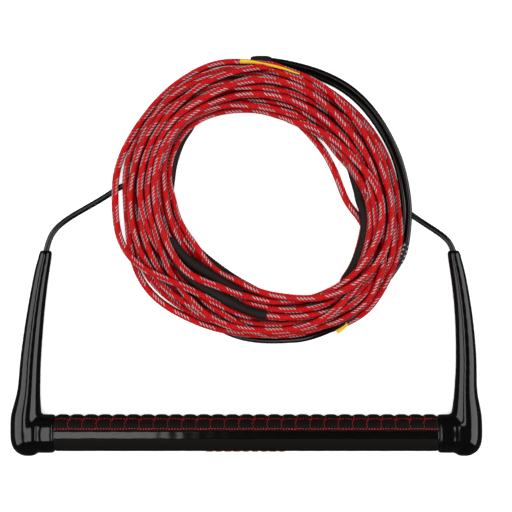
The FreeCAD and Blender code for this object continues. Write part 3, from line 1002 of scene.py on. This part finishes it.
def foam_grip():
    """The foam under the pad: a sleeve with a slightly uneven skin and rounded ends."""
    low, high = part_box("grip_sleeve")
    rng = np.random.default_rng(3)
    grid_x, grid_d, edge = bar_grid(low, high, 240, np.linspace(0, 360, 97))
    uneven = waves_along(grid_x, rng, (0.031, 0.013)) * np.cos(np.radians(grid_d * 2 + 40))
    rounding = 0.5 * MM * np.exp(-edge / (0.6 * MM))
    radius = GRIP_RADIUS - 0.08 * MM + 0.07 * MM * uneven - rounding
    outer = round_bar(grid_x, grid_d, radius)[:, :-1]
    inner = round_bar(grid_x, grid_d, TUBE_RADIUS + 0.05 * MM)[:, :-1]
    piece = ring_shell("grip_foam", outer, inner, FOAM)
    on_handle(piece, "grip_foam", "grip_sleeve")


def gloss_band():
    """The glossy strip along the pad's front edge, with wavy trimmed edges."""
    low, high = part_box("grip_band")
    rng = np.random.default_rng(5)
    x = np.linspace(low[0], high[0], 300)
    share = np.linspace(0, 1, 17)
    first = -11.0 + 1.3 * waves_along(x, rng, (0.047, 0.019, 0.008))
    last = 14.0 + 0.8 * waves_along(x, rng, (0.021, 0.009))
    degrees = first[:, None] + (last - first)[:, None] * share
    edge = np.minimum(share, 1 - share)
    radius = GRIP_RADIUS + 0.5 * MM * (1 - np.exp(-edge / 0.03))
    radius = radius[None, :] + 0.04 * MM * waves_along(x, rng, (0.035, 0.012))[:, None]
    outer = round_bar(x[:, None], degrees, radius)
    inner = round_bar(x[:, None], degrees, GRIP_RADIUS - 0.4 * MM)
    on_handle(shell("gloss_band", outer, inner, GLOSS), "grip_gloss", "grip_band")


def pad_height(x, degrees):
    """How far the quilted pad stands above the foam."""
    place = (x - PAD_START) / PAD_PITCH
    off_seam = np.abs(place - np.round(place)) * PAD_PITCH
    steep = np.clip((degrees - 20) / 45, 0, 1)
    valley = (0.35 + 0.75 * steep) * np.exp(-(off_seam / ((0.9 + 0.7 * steep) * MM)) ** 2)
    crown = 0.25 * steep * np.cos(np.pi * (place - np.floor(place) - 0.5))
    rows = sum(0.40 * np.exp(-((degrees - row) / 2.6) ** 2) for row in (LOWER_ROW, UPPER_ROW))
    front = 0.75 * np.exp(-((degrees - PAD_FROM) / 2.2) ** 2)
    back = 0.9 * np.exp(-((degrees - PAD_TO) / 6.0) ** 2)
    puff = 0.16 * np.exp(-((degrees - 39) / 14.0) ** 2)
    return np.maximum(1.15 + crown + puff - valley - rows - front - back, 0.12) * MM


def quilted_pad():
    low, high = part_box("grip_pad")
    degrees = np.concatenate([np.linspace(PAD_FROM, 62, 36), np.linspace(64, PAD_TO, 24)])
    grid_x, grid_d, edge = bar_grid(low, high, PAD_SEGMENTS * 16 + 1, degrees)
    height = pad_height(grid_x, grid_d) * (1 - 0.5 * np.exp(-edge / (0.5 * MM)))
    outer = round_bar(grid_x, grid_d, GRIP_RADIUS + height)
    inner = round_bar(grid_x, grid_d, GRIP_RADIUS - 0.3 * MM)
    piece = shell("quilted_pad", outer, inner, PAD)
    on_handle(piece, "grip_pad", "grip_pad")


def stitches(name, node, seams, rng):
    """A row of raised thread stitches. Each seam is a start, an end and a number of stitches."""
    vertices, faces = [], []
    steps, sides_round = 7, 6
    for (x0, d0), (x1, d1), count, thickness in seams:
        for k in range(count):
            from_share = (k + 0.20 + 0.08 * rng.random()) / count
            to_share = (k + 0.80 - 0.08 * rng.random()) / count
            share = np.linspace(from_share, to_share, steps)
            lean = 0.25 * MM * (rng.random() - 0.5)
            x = x0 + (x1 - x0) * share + lean * np.linspace(-1, 1, steps)
            degrees = d0 + (d1 - d0) * share + 1.1 * (rng.random() - 0.5)
            arch = np.sin(np.linspace(0, np.pi, steps))
            lift = pad_height(x, degrees) + (0.10 * MM + 0.22 * MM * arch)
            line = round_bar(x, degrees, GRIP_RADIUS + lift)
            up = unit(round_bar(x, degrees, GRIP_RADIUS + lift + MM) - line)
            side = np.cross(unit(np.gradient(line, axis=0)), up)
            width = thickness * (0.35 + 0.65 * arch ** 0.5)
            around = (np.arange(sides_round) * 2 * np.pi / sides_round)[None, :, None]
            ring = line[:, None] + width[:, None, None] * (
                np.cos(around) * side[:, None] + 0.75 * np.sin(around) * up[:, None])
            base = len(vertices)
            vertices.extend(ring.reshape(-1, 3))
            for s in range(steps - 1):
                for i in range(sides_round):
                    j = (i + 1) % sides_round
                    a = base + s * sides_round
                    faces.append((a + i, a + sides_round + i, a + sides_round + j, a + j))
            faces.append(tuple(base + i for i in range(sides_round)))
            last = base + (steps - 1) * sides_round
            faces.append(tuple(last + i for i in reversed(range(sides_round))))
    return on_handle(mesh_object(name, vertices, faces, THREAD), "red_thread", node)


def pad_stitches():
    rng = np.random.default_rng(7)
    lower, upper, cross = [], [], []
    for k in range(PAD_SEGMENTS):
        start = PAD_START + k * PAD_PITCH
        end = start + PAD_PITCH
        strong = 0.42 * MM if k % 2 == 0 else 0.32 * MM
        sag = 0.8 if k % 2 == 0 else -0.3
        lower.append(((start, LOWER_ROW - sag), (end, LOWER_ROW - sag * 0.4), 5, strong))
        upper.append(((start, UPPER_ROW), (end, UPPER_ROW + 0.8), 5, 0.22 * MM))
        if k:
            cross.append(((start, LOWER_ROW + 1.5), (start - 0.5 * MM, 40.0), 4, 0.19 * MM))
            cross.append(((start - 0.5 * MM, 40.0), (start + 0.5 * MM, UPPER_ROW + 1), 4, 0.19 * MM))
            cross.append(((start + 0.5 * MM, UPPER_ROW + 1), (start + 1.6 * MM, 72.0), 3, 0.16 * MM))
    stitches("lower_stitches", "stitch_row_lower", lower, rng)
    stitches("upper_stitches", "stitch_row_upper", upper, rng)
    stitches("cross_stitch_rows", "cross_stitches", cross, rng)


def badge_bars():
    """Nine slanted raised rubber bars along the grip's front, a plain ornament."""
    low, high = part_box("grip_badge")
    rng = np.random.default_rng(9)
    count = 9
    pitch = (high[0] - low[0]) / count
    vertices, faces = [], []
    across, around = 9, 15
    for k in range(count):
        middle = low[0] + (k + 0.5) * pitch
        half = pitch * (0.30 + 0.1 * rng.random())
        reach = 13.0 - 3.0 * rng.random()
        u, v = np.meshgrid(np.linspace(-1, 1, across), np.linspace(-1, 1, around), indexing="ij")
        x = middle + half * u - 0.9 * MM * v
        degrees = -90.0 + reach * v
        dome = np.clip((1 - np.abs(u) ** 5) * (1 - np.abs(v) ** 7), 0, 1) ** 0.5
        outer = round_bar(x, degrees, GRIP_RADIUS - 0.1 * MM + 0.55 * MM * dome)
        base = len(vertices)
        vertices.extend(outer.reshape(-1, 3))
        index = np.arange(across * around).reshape(across, around) + base
        corners = [index[:-1, :-1], index[:-1, 1:], index[1:, 1:], index[1:, :-1]]
        quads = np.stack(corners, -1).reshape(-1, 4)
        faces.extend(quads.tolist())
        faces.append(tuple(int(i) for i in rim_of(index)))
    piece = mesh_object("badge_bars", vertices, faces, BADGE)
    on_handle(piece, "orange_rubber", "grip_badge")


def cap(side):
    """An end cap with the soft blends of a moulding where its collar meets its arm."""
    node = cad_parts["end_cap_" + side]
    piece = linked("cap_" + side, node.data.copy())
    piece.matrix_world = node.matrix_world
    bpy.context.view_layer.update()
    piece.data.transform(piece.matrix_world)
    piece.matrix_world = Matrix.Identity(4)
    remesh = piece.modifiers.new("remesh", "REMESH")
    remesh.mode = "VOXEL"
    remesh.voxel_size = 0.9 * MM
    smooth = piece.modifiers.new("smooth", "CORRECTIVE_SMOOTH")
    smooth.smooth_type = "SIMPLE"
    smooth.iterations = 14
    smooth.factor = 0.5
    smooth.use_only_smooth = True
    apply_modifiers(piece)
    waist(piece.data)
    piece.data.materials.clear()
    piece.data.materials.append(CAP)
    piece.data.polygons.foreach_set("use_smooth", [True] * len(piece.data.polygons))
    on_handle(piece, "cap_plastic", "end_cap_" + side)


def waist(mesh):
    """A shallow dip round a cap where its arm ends and its collar begins."""
    points = np.empty(len(mesh.vertices) * 3)
    mesh.vertices.foreach_get("co", points)
    points = points.reshape(-1, 3)
    y = points[:, 1] - BAR_Y
    z = points[:, 2] - BAR_Z
    reach = np.hypot(y, z)
    depth = 0.6 * MM * np.exp(-((np.abs(points[:, 0]) - WAIST_X) / (2.3 * MM)) ** 2)
    depth *= np.clip((reach - 0.010) / 0.003, 0, 1) * np.clip((0.013 - y) / 0.006, 0, 1)
    points[:, 1] -= depth * y / reach
    points[:, 2] -= depth * z / reach
    mesh.vertices.foreach_set("co", points.ravel())
    mesh.update()


def apply_modifiers(piece):
    graph = bpy.context.evaluated_depsgraph_get()
    made = bpy.data.meshes.new_from_object(piece.evaluated_get(graph), depsgraph=graph)
    piece.modifiers.clear()
    piece.data = made


def plug(side):
    """The foam plug that keeps the bar afloat, with rounded rims and an uneven face."""
    node = "tube_plug_" + side
    low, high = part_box(node)
    rng = np.random.default_rng(13)
    grid_x, grid_d, edge = bar_grid(low, high, 40, np.linspace(0, 360, 49))
    radius = (high[2] - low[2]) / 2 - 1.2 * MM * np.exp(-edge / (1.0 * MM))
    radius = radius - 0.1 * MM * np.abs(waves_along(grid_x, rng, (0.006, 0.0035)))
    outer = round_bar(grid_x, grid_d, radius)[:, :-1]
    inner = round_bar(grid_x, grid_d, 0.6 * MM)[:, :-1]
    piece = ring_shell("float_plug_" + side, outer, inner, FOAM)
    on_handle(piece, "plug_foam", node)


def make_handle():
    foam_grip()
    gloss_band()
    quilted_pad()
    pad_stitches()
    badge_bars()
    for side in SIDES:
        cap(side)
        plug(side)


# ---- tags ------------------------------------------------------------------------
def height_of_ropes(x, y, ropes):
    """Top of the ropes below a place, or nothing where there is none."""
    reach = ROPE_DIA / 2 + 0.4 * MM
    apart = np.hypot(ropes[:, 0] - x, ropes[:, 1] - y)
    near = apart < reach
    if not near.any():
        return None
    return float(np.max(ropes[near, 2] + np.sqrt(reach ** 2 - apart[near] ** 2)))


def on_ropes(points, ropes):
    """Points of a tape laid on the ropes, in metres. Past an edge it keeps the nearest height."""
    tops = [height_of_ropes(x * MM, y * MM, ropes) for x, y in points]
    held = [k for k, top in enumerate(tops) if top is not None]
    heights = np.interp(range(len(points)), held, [tops[k] for k in held])
    return [(x * MM, y * MM, z) for (x, y), z in zip(points, heights)]


def tape(name, node, points, widths, tilt, ropes):
    """A short woven tape along some points, its upper side leaning outwards by tilt degrees."""
    line = smooth_line(on_ropes(points, ropes), 8)
    along = lengths_along(line)
    shares = along / along[-1]
    side, up = sides(line)
    width = np.interp(shares, np.linspace(0, 1, len(widths)), widths) * MM
    lean = math.radians(tilt)
    across = side * math.cos(lean) + up * math.sin(lean)
    normal = up * math.cos(lean) - side * math.sin(lean)
    v = np.linspace(-0.5, 0.5, 9)
    ripple = 0.12 * MM * np.sin(along / (2.3 * MM))[:, None] * (1 + v[None, :])
    middle = line[:, None] + v[None, :, None] * (width[:, None] * across)[:, None]
    crown = (0.3 * MM * (1 - (2 * v) ** 2))[None, :] + ripple
    outer = middle + normal[:, None] * (crown + 0.3 * MM)[..., None]
    inner = middle + normal[:, None] * (crown - 0.3 * MM)[..., None]
    piece = shell(name, outer[:, ::-1], inner[:, ::-1], TAPE)
    place(piece, "line", "yellow_tape", node)


def make_tags(made):
    ropes = np.concatenate([path for _, path in made.values()])
    tape("tape_back", "tag_back", TAPE_BACK, (3.4, 2.4, 2.0, 1.9, 1.0), -25, ropes)
    tape("tape_front", "tag_front", TAPE_FRONT, (4.2, 3.9, 2.6), 10, ropes)


def main():
    camera()
    stage()
    coil = lay_coil()
    made = make_lines(coil)
    sleeves = make_sleeves(made, coil)
    apex = apex_sleeve(made)
    whipping = leg_whipping(made)
    for side, carried in (("left", [apex, whipping]), ("right", [apex])):
        name = "leg_" + side
        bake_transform(made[name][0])
    make_handle()
    make_tags(made)
    for name in ("bar_tube", "leg_stop_left", "leg_stop_right"):
        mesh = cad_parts[name].data
        mesh.materials.clear()
        mesh.materials.append(ALUMINIUM)


main()
